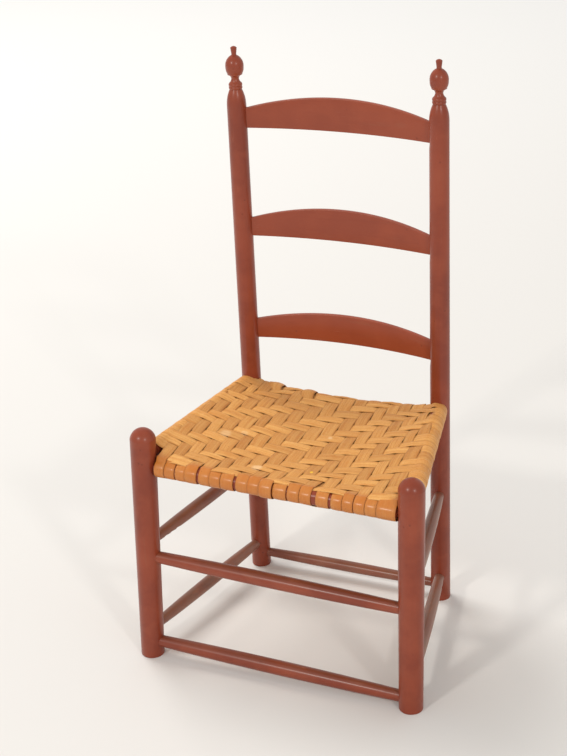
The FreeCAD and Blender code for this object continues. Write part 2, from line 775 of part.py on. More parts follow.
def wrap(place, centre, outward, radius, target, upward):
    """Round a rail, from under it to where a straight run to the target leaves it, or back."""
    s, z = centre
    run, rise = (s - target[0]) * outward, target[1] - z
    leaving = math.atan2(rise, run) + math.acos(radius / math.hypot(run, rise))
    ends = [place(s, z - radius),
            place(s - outward * radius * math.cos(leaving), z + radius * math.sin(leaving))]
    if not upward:
        ends.reverse()
    return Part.Arc(ends[0], place(s + outward * radius, z), ends[1]).toShape()


def under_height(x, y):
    """The middle of the warps' straight runs under the seat, which meet in a dip half way."""
    front, back = rail_point(front_rail, 0, x), rail_point(back_rail, 0, x)
    depth = (y - front.y) / (back.y - front.y)
    return between(front.z, back.z, depth) - middle_wrap - seat_sag * (1 - abs(2 * depth - 1))


def strip_edge(place, first, second, bottom, crossings):
    """One long edge of a strip as a closed outline of its thickness, in an upright plane. It goes
    round both rails and joins at the middle one of the bottom points, or round the first rail only
    and ends at its last crossing."""
    half = strip_thickness / 2
    outer, inner = middle_wrap + half, middle_wrap - half
    upper = [(s, z + half) for s, z in crossings]
    lower = [(s, z - half) for s, z in crossings]
    over = [wrap(place, first, -1, outer, upper[0], True)] + [place(s, z) for s, z in upper]
    under = [place(s, z) for s, z in reversed(lower)] + [wrap(place, first, -1, inner, lower[0], False)]
    if second is None:
        end = crossings[-1][0]
        ends = [place(end, first[1] - radius) for radius in (outer, inner)]
        return closed_wire([ends[0]] + over + under + [ends[1]])
    over.append(wrap(place, second, 1, outer, upper[-1], False))
    under.insert(0, wrap(place, second, 1, inner, lower[-1], True))
    count = len(bottom) // 2
    near, far = bottom[:count], bottom[count + 1:]
    join = cell("splint_join_gap").value / 2
    start, end = [(bottom[count][0] + side * join, bottom[count][1]) for side in (-1, 1)]
    outside = [(start, *near[::-1]), (*far[::-1], end)]
    inside = [(end, *far), (*near, start)]
    outside = [[place(s, z - half) for s, z in points] for points in outside]
    inside = [[place(s, z + half) for s, z in points] for points in inside]
    return closed_wire(outside[0] + over + outside[1] + inside[0] + under + inside[1])


def closed_wire(items):
    """Joins points and arcs with straight edges."""
    edges = []
    last = None
    for item in items + items[:1]:
        start = item if isinstance(item, FreeCAD.Vector) else item.Vertexes[0].Point
        if last is not None:
            edges.append(Part.makeLine(last, start))
        if not isinstance(item, FreeCAD.Vector):
            edges.append(item)
            start = item.Vertexes[1].Point
        last = start
    return Part.Wire(edges)


def warp_edge(warp, edge, wefts):
    def place(y, z):
        return FreeCAD.Vector(warp_x(warp, edge, y), y, z)

    def centre(bar):
        y = rail_point(bar, 0, warp_x(warp, edge, bar_y(bar))).y
        point = rail_point(bar, 0, warp_x(warp, edge, y))
        return point.y, point.z

    crossings = []
    for weft in wefts:
        side = 1 if warp_is_over(warp, weft) else -1
        for border in (-1, 1):
            y = weft_y(weft, border)
            crossings.append((y, seat_height(warp_x(warp, edge, y), y) + side * weave_offset))
    first = centre(front_rail)
    if len(wefts) < weft_count:
        return strip_edge(place, first, None, [], crossings)
    second = centre(back_rail)
    join_y = (first[0] + second[0]) / 2
    bottom = [(join_y, under_height(warp_x(warp, edge, join_y), join_y))]
    return strip_edge(place, first, second, bottom, crossings)


def bar_y(bar):
    return back_y if bar is back_rail else front_y


def weft_edge(weft, edge, warps):
    y = weft_y(weft, edge)

    def place(x, z):
        return FreeCAD.Vector(x, y, z)

    crossings = []
    for warp in warps:
        side = -1 if warp_is_over(warp, weft) else 1
        for border in (-1, 1):
            x = warp_x(warp, border, y)
            crossings.append((x, seat_height(x, y) + side * weave_offset))
    sides = [rail_point(bar, 1, y) for bar in (left_rail, right_rail)]
    first, second = [(point.x, point.z) for point in sides]
    # Underneath, the wefts follow the top of the seat near the side rails, and lie on the warps.
    join_x = (first[0] + second[0]) / 2
    bottom = [(x, z - 2 * middle_wrap) for x, z in (crossings[0], crossings[-1])]
    bottom.insert(1, (join_x, under_height(join_x, y) + 2 * weave_offset))
    return strip_edge(place, first, second, bottom, crossings)


def make_strips(name, edge_pairs):
    """Lofts each strip between its two long edges and keeps the strips in one named object."""
    strips = [Part.makeLoft(list(pair), True, True) for pair in edge_pairs]
    feature = doc.addObject("Part::Feature", name)
    feature.Label = name
    feature.Shape = Part.makeCompound(strips)
    feature.Placement = FreeCAD.Placement()
    return feature


crossed = [crossed_wefts(warp) for warp in range(warp_count)]
warp_pairs = [[warp_edge(warp, edge, crossed[warp]) for edge in (-1, 1)] for warp in range(warp_count)]
weft_pairs = []
for weft in range(weft_count):
    met = [warp for warp in range(warp_count) if weft in crossed[warp]]
    weft_pairs.append([weft_edge(weft, edge, met) for edge in (-1, 1)])
nodes.append(make_strips("seat_warp_splints", warp_pairs))
nodes.append(make_strips("seat_weft_splints", weft_pairs))
print("seat:", warp_count, "warps,", full_count, "of them to the back rail, and", weft_count, "wefts")


doc.recompute()
faults = [obj.Name for obj in doc.Objects if "Invalid" in obj.State or "Error" in obj.State]
faults += [node.Label for node in nodes if node.Shape.isNull() or not node.Shape.isValid()]
if faults:
    raise ValueError("failed: " + ", ".join(faults))

os.makedirs("parts", exist_ok=True)
for node in nodes:
    node.Shape.exportStep(os.path.join("parts", node.Label + ".step"))
    print(node.Label, len(node.Shape.Solids), round(node.Shape.Volume))
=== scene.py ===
import math
import random

import bmesh
import bpy
import numpy as np
from mathutils import Matrix, Vector


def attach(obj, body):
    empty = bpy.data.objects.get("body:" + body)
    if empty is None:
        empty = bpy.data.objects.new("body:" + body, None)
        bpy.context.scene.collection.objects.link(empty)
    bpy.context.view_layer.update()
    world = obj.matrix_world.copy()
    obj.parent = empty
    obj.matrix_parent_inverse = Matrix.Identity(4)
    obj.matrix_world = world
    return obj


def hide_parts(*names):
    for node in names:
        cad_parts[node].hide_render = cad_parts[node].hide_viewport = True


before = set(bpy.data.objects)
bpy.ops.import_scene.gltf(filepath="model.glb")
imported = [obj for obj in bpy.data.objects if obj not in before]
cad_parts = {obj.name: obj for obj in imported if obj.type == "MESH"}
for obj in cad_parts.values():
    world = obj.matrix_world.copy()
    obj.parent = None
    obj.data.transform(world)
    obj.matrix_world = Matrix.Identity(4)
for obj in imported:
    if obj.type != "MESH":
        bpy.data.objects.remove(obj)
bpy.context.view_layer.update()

print("loaded", len(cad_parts), "nodes")


# Shader maths.

class Wire:
    # An output socket. Arithmetic with it adds Math nodes.
    def __init__(self, shader, socket):
        self.shader = shader
        self.socket = socket

    def __add__(self, other):
        return self.shader.math("ADD", self, other)

    def __radd__(self, other):
        return self.shader.math("ADD", other, self)

    def __sub__(self, other):
        return self.shader.math("SUBTRACT", self, other)

    def __rsub__(self, other):
        return self.shader.math("SUBTRACT", other, self)

    def __mul__(self, other):
        return self.shader.math("MULTIPLY", self, other)

    def __rmul__(self, other):
        return self.shader.math("MULTIPLY", other, self)

    def __truediv__(self, other):
        return self.shader.math("DIVIDE", self, other)

    def __rtruediv__(self, other):
        return self.shader.math("DIVIDE", other, self)

    def __abs__(self):
        return self.shader.math("ABSOLUTE", self)

    def between(self, low, high):
        # 0 up to low and 1 from high on, with a soft step in between.
        return self.shader.add("ShaderNodeMapRange", {"interpolation_type": "SMOOTHSTEP"},
                               {"Value": self, "From Min": low, "From Max": high})


class Shader:
    # A material whose nodes are added one by one.
    def __init__(self, name):
        self.material = bpy.data.materials.new(name)
        self.material.use_nodes = True
        self.tree = self.material.node_tree
        self.surface = self.tree.nodes["Principled BSDF"]

    def add(self, kind, settings=None, inputs=None, output=0):
        node = self.tree.nodes.new(kind)
        for name, value in (settings or {}).items():
            setattr(node, name, value)
        for name, value in (inputs or {}).items():
            self.plug(node.inputs[name], value)
        return Wire(self, node.outputs[output])

    def plug(self, socket, value):
        if isinstance(value, Wire):
            self.tree.links.new(value.socket, socket)
        else:
            socket.default_value = value

    def math(self, operation, first, second=0.0):
        return self.add("ShaderNodeMath", {"operation": operation}, {0: first, 1: second})

    def vector(self, operation, first, second):
        return self.add("ShaderNodeVectorMath", {"operation": operation}, {0: first, 1: second})

    def mix(self, factor, first, second, blend="MIX"):
        # Inputs 6 and 7 and output 2 are the colour ones.
        return self.add("ShaderNodeMix", {"data_type": "RGBA", "blend_type": blend},
                        {0: factor, 6: first, 7: second}, output=2)

    def length(self, vector):
        return self.add("ShaderNodeVectorMath", {"operation": "LENGTH"}, {0: vector}, output=1)

    def parts(self, vector):
        node = self.add("ShaderNodeSeparateXYZ", None, {0: vector}).socket.node
        return [Wire(self, output) for output in node.outputs]

    def joined(self, *values):
        return self.add("ShaderNodeCombineXYZ", None, dict(enumerate(values)))

    def noise(self, vector, scale=1.0, detail=2.0, roughness=0.5, distortion=0.0):
        return self.add("ShaderNodeTexNoise", None,
                        {"Vector": vector, "Scale": scale, "Detail": detail, "Roughness": roughness,
                         "Distortion": distortion})

    def cells(self, vector, scale):
        return self.add("ShaderNodeTexVoronoi", None, {"Vector": vector, "Scale": scale})

    def uv(self, name):
        return self.add("ShaderNodeUVMap", {"uv_map": name})

    def place(self):
        return self.add("ShaderNodeTexCoord", output="Object")

    def bump(self, height, strength, distance):
        return self.add("ShaderNodeBump", None,
                        {"Height": height, "Strength": strength, "Distance": distance})

    def finish(self, **values):
        for name, value in values.items():
            self.plug(self.surface.inputs[name.replace("_", " ")], value)
        return self.material


def colour(red, green, blue):
    # From the usual 0 to 255 values to linear light.
    def linear(value):
        share = value / 255
        return share / 12.92 if share <= 0.04045 else ((share + 0.055) / 1.055) ** 2.4
    return (linear(red), linear(green), linear(blue), 1.0)


# Painted wood.

paint = {
    "deep": colour(126, 48, 24),
    "main": colour(143, 59, 31),
    "light": colour(153, 70, 41),
    "dusty": colour(138, 98, 80),
    "bare": colour(162, 100, 72),
    "soot": colour(84, 38, 26),
    "rungTopDark": colour(98, 62, 46),
    "scuff": colour(186, 128, 104),
    "roughness": 0.31,
    "grainAlong": 5.0,
    "grainAround": 95.0,
    "fineGrain": 3.4,
    "slatLightening": 0.45,
    "wornEdge": 0.0014,
    "wornAngle": 50.0,
}

# Each group: which way the grain runs, its nodes, how dusty and how rubbed the paint is.
paintGroups = {
    "paintPosts": ("z", 0.04, 0.25,
                   ["front_post_left", "front_post_right", "back_post_left", "back_post_right"]),
    "paintFrontRungs": ("x", 0.1, 0.8, ["upper_front_rung", "lower_front_rung"]),
    "paintBackRung": ("x", 0.7, 0.5, ["back_rung"]),
    "paintLeftRungs": ("y", 0.9, 0.5, ["upper_left_rung", "lower_left_rung"]),
    "paintRightRungs": ("y", 1.0, 0.6, ["upper_right_rung", "lower_right_rung"]),
    "paintRails": ("x", 0.0, 0.1, ["front_seat_rail", "back_seat_rail"]),
    "paintSideRails": ("y", 0.0, 0.1, ["left_seat_rail", "right_seat_rail"]),
    "paintSlats": ("x", 0.0, 0.35, ["top_slat", "middle_slat", "bottom_slat"]),
}


def paintMaterial(name, way, dusty, rubbed):
    shader = Shader(name)
    # The slats' paint is mixed a little lighter than that of the turned parts.
    slatLighter = paint["slatLightening"] if name == "paintSlats" else 0.0
    place = shader.place()
    along, around = paint["grainAlong"], paint["grainAround"]
    stretch = {"x": (along, around, around), "y": (around, along, around), "z": (around, around, along)}[way]
    lengthwise = shader.vector("MULTIPLY", place, stretch)
    fine = shader.vector("MULTIPLY", place, tuple(paint["fineGrain"] * value for value in stretch))
    grain = shader.noise(lengthwise, detail=4.0, roughness=0.6, distortion=0.3)
    fibres = shader.noise(fine, detail=3.0, roughness=0.55)
    patches = shader.noise(place, 9.0, 4.0, 0.6)
    clouds = shader.noise(place, 31.0, 3.0, 0.5, 0.4)
    tint = shader.mix(patches.between(0.36, 0.66), paint["deep"], paint["main"])
    tint = shader.mix(slatLighter, tint, paint["light"])
    tint = shader.mix(clouds.between(0.42, 0.74) * 0.35, tint, paint["light"])
    tint = shader.mix(grain.between(0.5, 0.72) * 0.3, tint, paint["deep"])
    settled = (clouds * 0.5 + patches * 0.5).between(0.38, 0.62) * 0.45 + 0.55
    tint = shader.mix(settled * dusty, tint, paint["dusty"])
    # The upward-facing side of the rungs is mixed darker, patchy with the grain.
    if name.endswith("Rungs") or name.endswith("Rung"):
        _, _, upward = shader.parts(shader.add("ShaderNodeNewGeometry", output="Normal"))
        upperDark = upward.between(0.35, 0.98) * (grain * 0.6 + clouds * 0.7)
        tint = shader.mix(upperDark * 0.62, tint, paint["rungTopDark"])
    # Paint rubbed thin along raised grain, and dark specks of dirt in small dents.
    thin = (grain * 0.6 + patches * 0.4).between(0.56, 0.66) * (rubbed * 0.45)
    tint = shader.mix(thin, tint, paint["bare"])
    dents = shader.cells(place, 58.0)
    picked = shader.noise(place, 23.0, 1.0).between(0.52, 0.6)
    speck = (1.0 - dents.between(0.04, 0.16)) * picked
    tint = shader.mix(speck * 0.32, tint, paint["soot"])
    scratched = shader.noise(fine, 2.2, 2.0, 0.5, 1.2).between(0.66, 0.74)
    scratched = scratched * shader.noise(place, 17.0, 2.0).between(0.58, 0.68)
    tint = shader.mix(scratched * 0.4, tint, paint["scuff"])
    roughness = paint["roughness"] + clouds * 0.16 + thin * 0.35 + speck * 0.25
    height = grain * 0.5 + fibres * 0.25 + clouds * 0.35 - speck * 1.1 - thin * 0.4
    bump = shader.bump(height, 0.32, 0.0009)
    return shader.finish(Base_Color=tint, Roughness=roughness, Normal=bump, Coat_Weight=0.36,
                         Coat_Roughness=0.24, Specular_IOR_Level=0.3)


for name, (way, dusty, rubbed, nodes) in paintGroups.items():
    material = paintMaterial(name, way, dusty, rubbed)
    for nodeName in nodes:
        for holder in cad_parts[nodeName].material_slots:
            holder.material = material

# The slats' edges are worn round. Their loose triangles are joined first.
for nodeName in paintGroups["paintSlats"][3]:
    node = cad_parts[nodeName]
    weld = node.modifiers.new("weld", "WELD")
    weld.merge_threshold = 0.00001
    bevel = node.modifiers.new("wornEdges", "BEVEL")
    bevel.width = paint["wornEdge"]
    bevel.segments = 3
    bevel.limit_method = "ANGLE"
    bevel.angle_limit = math.radians(paint["wornAngle"])
print("painted", len(paintGroups), "groups")


# Woven seat.

# Sizes in millimetres, in the frame of the chair. Three rails are given by the ends of their middle line,
# and the back rail by how far back and how high its ends are, its bow, the bow's slope and half its length.
seat = {
    "frontRail": ((-229.5, -146.3, 350.0), (229.45, -146.1, 343.0)),
    "backRail": (159.95, 357.0, 9.0, 40.0, 157.0),
    "leftRail": ((-229.4, -145.3, 366.0), (-173.5, 160.1, 373.0)),
    "rightRail": ((229.3, -145.0, 359.0), (173.5, 160.1, 373.0)),
    "radius": 13.9,
    "topDip": 13.5,
    "underDip": 8.0,
    "thickness": 1.0,
    "rise": 1.0,
    "bulge": 0.8,
    "crown": 0.3,
    "railGap": 0.35,
    "railFall": 26.0,
    "gap": 0.25,
    "overRail": 0.32,
    "tuck": 3.0,
    "fine": 8,
    "coarse": 5,
    "turn": 14,
    # How unevenly strips are cut, laid and tilted: by how much, and how long the waves are.
    "cutWaves": (0.35, 60.0),
    "warpWaves": (0.6, 110.0),
    "weftWaves": (0.5, 120.0),
    "tiltWaves": (0.12, 45.0),
    # Shares of the depth: from where and over how much a strip shifts aside and stands proud before the
    # back rail, and how far the front rail's varnish reaches.
    "shift": (0.9, 0.08),
    "proud": (0.92, 0.06),
    "nearFront": 0.05,
    # Shares of half the width: from where and over how much the side-to-side strips draw together, and by
    # how many millimetres they then overlap.
    "together": (0.86, 0.1, 0.9),
    "nearSide": 0.06,
    "sideVarnish": 0.12,
    "halfWidth": 200.0,
    "inside": 1.5,
    "seed": 11,
}

# Left and right edge of each front-to-back strip on the front rail, half-way and on the back rail.
warps = [
    ((-205.0, -187.0), (-204.0, -188.0), (-192.0, -176.0)),
    ((-187.0, -168.0), (-188.0, -170.0), (-176.0, -159.0)),
    ((-168.0, -150.0), (-170.0, -151.0), (-158.0, -147.0)),
    ((-150.0, -128.6), (-151.0, -131.0), (-147.0, -127.0)),
    ((-126.0, -107.0), (-131.0, -109.0), (-127.0, -103.5)),
    ((-107.0, -87.0), (-109.0, -92.0), (-103.5, -87.0)),
    ((-87.0, -64.5), (-92.0, -67.0), (-87.0, -66.0)),
    ((-61.0, -40.0), (-67.0, -44.0), (-66.0, -45.0)),
    ((-40.0, -19.0), (-44.0, -20.0), (-45.0, -21.0)),
    ((-19.0, 3.0), (-20.0, 6.0), (-21.0, 1.0)),
    ((3.0, 27.0), (6.0, 28.0), (1.0, 25.0)),
    ((27.0, 48.0), (28.0, 50.0), (25.0, 47.0)),
    ((48.0, 68.0), (50.0, 71.0), (47.0, 69.0)),
    ((76.5, 98.0), (71.0, 93.0), (69.0, 87.0)),
    ((101.5, 120.0), (93.0, 116.0), (87.0, 107.0)),
    ((120.0, 138.5), (116.0, 136.0), (107.0, 127.0)),
    ((138.5, 157.0), (136.0, 156.0), (127.0, 150.0)),
    ((157.0, 176.0), (156.0, 174.0), (151.0, 167.0)),
    ((176.0, 208.5), (174.0, 199.0), (168.0, 188.0)),
]
warpStations = (-158.0, -60.0, 60.0, 160.0)
weaveFront, weaveBack, weaveDepth = -146.0, 155.0, 304.0
# The outer strips stop at the side rails: how far back each one runs.
shortWarps = {0: 88.0, 1: 132.0, 17: 135.0, 18: 96.0}
# Strips that stand a little proud round the front rail and over the back rail.
proudFront = {0: 0.6, 3: 0.4, 6: 0.8, 9: 3.4, 10: 0.6, 13: 0.5, 15: 0.4, 18: 0.8}
proudBack = {2: 0.8, 3: 1.6, 4: 4.6, 7: 4.2, 8: 0.8, 12: 1.2, 15: 0.6}
# How far the left and right edge of a strip lie aside on the back rail.
backShift = {4: (-11.0, -8.0), 5: (-8.0, 0.0), 7: (-8.0, -5.0), 8: (-5.0, 0.0)}

# Front edge of each side-to-side strip at the left rail, half-way, in the middle, half-way and at the
# right rail. The last row is the back edge of the last strip.
weftEdges = [
    (-149.0, -150.0, -151.0, -150.0, -146.0),
    (-120.0, -126.0, -131.0, -129.0, -124.0),
    (-102.0, -103.0, -112.0, -108.0, -104.0),
    (-87.0, -90.0, -97.0, -91.0, -84.0),
    (-69.0, -73.0, -81.0, -74.0, -66.0),
    (-52.0, -55.0, -61.0, -52.0, -47.0),
    (-36.0, -35.0, -40.0, -34.0, -30.0),
    (-14.0, -15.0, -19.0, -14.0, -10.0),
    (4.0, 2.0, 1.0, 5.0, 9.0),
    (20.0, 20.0, 17.0, 22.0, 24.0),
    (39.0, 41.0, 38.0, 43.0, 45.0),
    (57.0, 60.0, 58.0, 63.0, 64.0),
    (74.0, 80.0, 78.0, 83.0, 80.0),
    (88.0, 99.0, 94.0, 102.0, 94.0),
    (101.0, 120.0, 115.0, 125.0, 106.0),
    (113.0, 138.0, 136.0, 140.0, 118.0),
    (126.0, 152.0, 152.0, 153.0, 131.0),
    (147.0, 169.0, 169.0, 169.0, 148.0),
]
weftShares = (-1.0, -0.5, 0.0, 0.5, 1.0)
rows = len(weftEdges) - 1
# The first row only lies between the front posts: from where to where, as shares of half the width.
firstRow = {"top": (-0.888, 0.915), "under": (-0.888, 0.9)}

# Half a strip's cross-section: place across it, and how much of the thickness it has there.
profile = [(-1.0, 0.25), (-0.94, 0.85), (-0.5, 1.0), (0.0, 1.0), (0.5, 1.0), (0.94, 0.85), (1.0, 0.25)]


def mixed(first, second, share):
    return first + (second - first) * share


def eased(share):
    share = np.clip(share, 0.0, 1.0)
    return share * share * (3.0 - 2.0 * share)


def railAt(ends, axis, value):
    start, end = (np.array(point) for point in ends)
    share = (value - start[axis]) / (end[axis] - start[axis])
    return [mixed(start[number], end[number], share) for number in range(3)]


def frontAxis(x):
    point = railAt(seat["frontRail"], 0, x)
    return point[1], point[2]


def backAxis(x):
    y, z, bow, slope, half = seat["backRail"]
    share = 1.0 - np.clip(x / half, -1.0, 1.0) ** 2
    return y - bow * math.cos(math.radians(slope)) * share, z - bow * math.sin(math.radians(slope)) * share


def sideAxis(x, y):
    left, right = railAt(seat["leftRail"], 1, y), railAt(seat["rightRail"], 1, y)
    onLeft = x < 0
    return np.where(onLeft, left[0], right[0]), np.where(onLeft, left[2], right[2])


def softMax(first, second, width):
    share = np.clip(0.5 + 0.5 * (first - second) / width, 0.0, 1.0)
    return mixed(second, first, share) + width * share * (1.0 - share)


def seatHeight(x, y, side):
    # side is 1 for the top of the seat and -1 for its underside.
    radius = seat["radius"]
    frontY, frontZ = frontAxis(x)
    backY, backZ = backAxis(x)
    sideX, sideZ = sideAxis(x, y)
    depth = np.clip((y - frontY) / (backY - frontY), 0.0, 1.0)
    fullness = 4.0 * depth * (1.0 - depth)
    share = np.clip(np.abs(x / sideX), 0.0, 1.0)
    level = mixed(frontZ, backZ, depth) + side * radius
    lift = (sideZ + side * radius - level) * share ** mixed(8.0, 2.0, fullness)
    skewed = depth ** 0.75
    dip = seat["topDip"] * 4.0 * skewed * (1.0 - skewed) if side > 0 else seat["underDip"] * fullness
    height = level + lift - dip * (1.0 - share ** 2)
    aside = np.abs(sideX) - np.abs(x)
    edge = sideZ + side * np.sqrt(np.clip(radius ** 2 - aside ** 2, 0.0, None))
    height = np.where(np.abs(aside) < radius, side * softMax(side * height, side * edge, 0.5), height)
    for centreY, centreZ, outside in ((frontY, frontZ, y < frontY), (backY, backZ, y > backY)):
        reach = np.clip(radius ** 2 - (y - centreY) ** 2, 0.0, None)
        edge = centreZ + side * np.sqrt(reach)
        near = np.abs(y - centreY) < radius
        height = np.where(near, side * softMax(side * height, side * edge, 0.8), height)
        height = np.where(outside, edge, height)
    return height


def warpEdge(number, which, y):
    front, middle, back = (station[which] for station in warps[number])
    inset = seat["gap"] if which == 0 else -seat["gap"]
    return np.interp(y, warpStations, (front, middle, middle * 0.6 + back * 0.4, back)) + inset


def warpCentre(number, y):
    return (warpEdge(number, 0, y) + warpEdge(number, 1, y)) / 2


def weftLine(number, x, y):
    # The front edge of a row where the line at x crosses it. y only picks the place along the side rail.
    sideX, _ = sideAxis(x, y)
    return np.interp(np.clip(x / np.abs(sideX), -1.0, 1.0), weftShares, weftEdges[number])


def countAlong(value, centres):
    # Which strip a place lies in, as a number with a fraction; .0 is a strip's middle.
    last = len(centres) - 1
    count = np.full(np.shape(value), -1.0)
    for number in range(last):
        share = (value - centres[number]) / (centres[number + 1] - centres[number])
        count = np.where(share >= 0.0, number + np.clip(share, 0.0, 1.0), count)
    before = (value - centres[0]) / (centres[1] - centres[0])
    count = np.where(before < 0.0, np.clip(before, -1.0, 0.0), count)
    after = (value - centres[-1]) / (centres[-1] - centres[-2])
    return np.where(after > 0.0, last + np.clip(after, 0.0, 1.0), count)


def rowAt(x, y):
    lines = np.stack([weftLine(number, x, y) for number in range(rows + 1)])
    return countAlong(y, (lines[:-1] + lines[1:]) / 2)


def columnAt(x, y):
    return countAlong(x, np.stack([warpCentre(number, y) for number in range(len(warps))]))


def warpOver(warp, row, side):
    # 1 where the front-to-back strip lies on the outside, -1 where it lies inside.
    phase = (warp - row) % 4 if side > 0 else (warp + row + 1) % 4
    return np.where((phase == 0) | (phase == 3), 1.0, -1.0)


def woven(fixed, moving, side, isWarp, count):
    # The offset of a strip that runs over the crossings, from -1 to 1, with a bulge where it floats.
    low = np.floor(moving)
    share = moving - low

    def at(number):
        state = warpOver(fixed, number, side) if isWarp else -warpOver(number, fixed, side)
        return np.where((number < 0) | (number > count - 1), 0.0, state)

    first, second = at(low), at(low + 1)
    floating = (first == second) & (first != 0.0)
    bulge = first * np.sin(share * math.pi) * seat["bulge"]
    return np.where(floating, first + bulge, mixed(first, second, eased((share - 0.22) / 0.56)))


def clearOfRail(lift, beside):
    # A strip never sinks into the rail that it passes over.
    return np.maximum(lift, -seat["railGap"] - np.maximum(beside, 0.0) ** 2 / seat["railFall"])


def wobble(chance, values, size, length):
    waves = [(chance.uniform(0.6, 1.8) / length, chance.uniform(0.0, 6.3)) for _ in range(3)]
    return sum(np.sin(values * rate * math.tau + start) for rate, start in waves) * (size / 3.0)


def wholeRound(shares, underShares, turns):
    # The stations of a whole band: from the middle of the underside round one rail, over the top, round the
    # other rail and back. Each is the part of the round that it lies in, and a share or an angle there.
    half = (len(underShares) - 1) // 2
    angles = np.linspace(0.0, math.pi, seat["turn"] + 1)
    return ([("under", value) for value in underShares[half:-1]]
            + [(turns[0], value) for value in angles[:-1]]
            + [("top", value) for value in shares[:-1]]
            + [(turns[1], value) for value in angles[:-1]]
            + [("under", value) for value in underShares[:half + 1]])


def smoothed(lifts):
    return (lifts[:-2] + lifts[1:-1] * 2.0 + lifts[2:]) / 4.0


def stripMesh(work, layers, middle, lifts, halfWidth, wrapped, tone, closed):
    # A strip round its middle surface: two layers with rounded edges, from one grid folded into a tube.
    steps, wide = middle.shape[:2]
    if closed:
        middle[-1] = middle[0]
        lifts[-1] = lifts[0]
    along = np.gradient(middle, axis=0)
    if closed:
        along[0] = along[-1] = middle[1] - middle[-2]
    across = np.gradient(middle, axis=1)
    normal = np.cross(across, along)
    normal /= np.linalg.norm(normal, axis=2, keepdims=True)
    places = np.array([place for place, _ in profile])
    thick = np.array([share for _, share in profile]) * seat["thickness"] / 2
    crown = seat["crown"] * (1.0 - places ** 2)
    upper = middle + normal * (lifts + crown + thick)[..., None]
    lower = middle + normal * (lifts + crown - thick)[..., None]
    ring = np.concatenate([upper, lower[:, ::-1]], axis=1) * 0.001
    ringPlace = np.concatenate([places, places[::-1]])
    paces = np.linalg.norm(np.diff(middle[:, wide // 2], axis=0), axis=1)
    lengths = np.concatenate([[0.0], np.cumsum(paces)])
    around = ring.shape[1]
    made = bmesh.ops.create_grid(work, x_segments=steps - 1, y_segments=around, size=1.0)
    spots = {}
    for vertex in made["verts"]:
        step = round((vertex.co.x + 1.0) / 2.0 * (steps - 1))
        turn = round((vertex.co.y + 1.0) / 2.0 * around)
        spots[vertex] = (step, turn)
    faces = {face for vertex in made["verts"] for face in vertex.link_faces}
    grain, mark, spot = layers
    for face in faces:
        turns = [spots[loop.vert][1] for loop in face.loops]
        for loop, turn in zip(face.loops, turns):
            step = spots[loop.vert][0]
            place = ringPlace[turn % around]
            width = halfWidth[step] * 0.001
            loop[grain].uv = (lengths[step] * 0.001, place * width)
            loop[mark].uv = (tone, wrapped[step])
            loop[spot].uv = (place, lifts[step, min(turn, around - 1 - turn) if turn < around else 0])
        face.smooth = True
    for vertex, (step, turn) in spots.items():
        vertex.co = ring[0 if closed and step == steps - 1 else step, turn % around]
    seams = [vertex for vertex, (step, turn) in spots.items()
             if turn in (0, around) or (closed and step in (0, steps - 1))]
    bmesh.ops.remove_doubles(work, verts=seams, dist=1e-7)
    if not closed:
        rims = {edge for face in faces if face.is_valid for edge in face.edges if edge.is_boundary}
        bmesh.ops.holes_fill(work, edges=list(rims), sides=0)


def makePiece(name, node, material):
    mesh = bpy.data.meshes.new(name)
    piece = bpy.data.objects.new(name, mesh)
    bpy.context.scene.collection.objects.link(piece)
    mesh.materials.append(material)
    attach(piece, "root")
    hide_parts(node)
    return piece


def newLayers(work):
    return [work.loops.layers.uv.new(name) for name in ("grain", "mark", "spot")]


def saveMesh(work, piece):
    bmesh.ops.recalc_face_normals(work, faces=work.faces)
    bmesh.ops.dissolve_degenerate(work, edges=work.edges, dist=1e-8)
    work.to_mesh(piece.data)
    work.free()
    print(piece.name, len(piece.data.polygons), "faces")


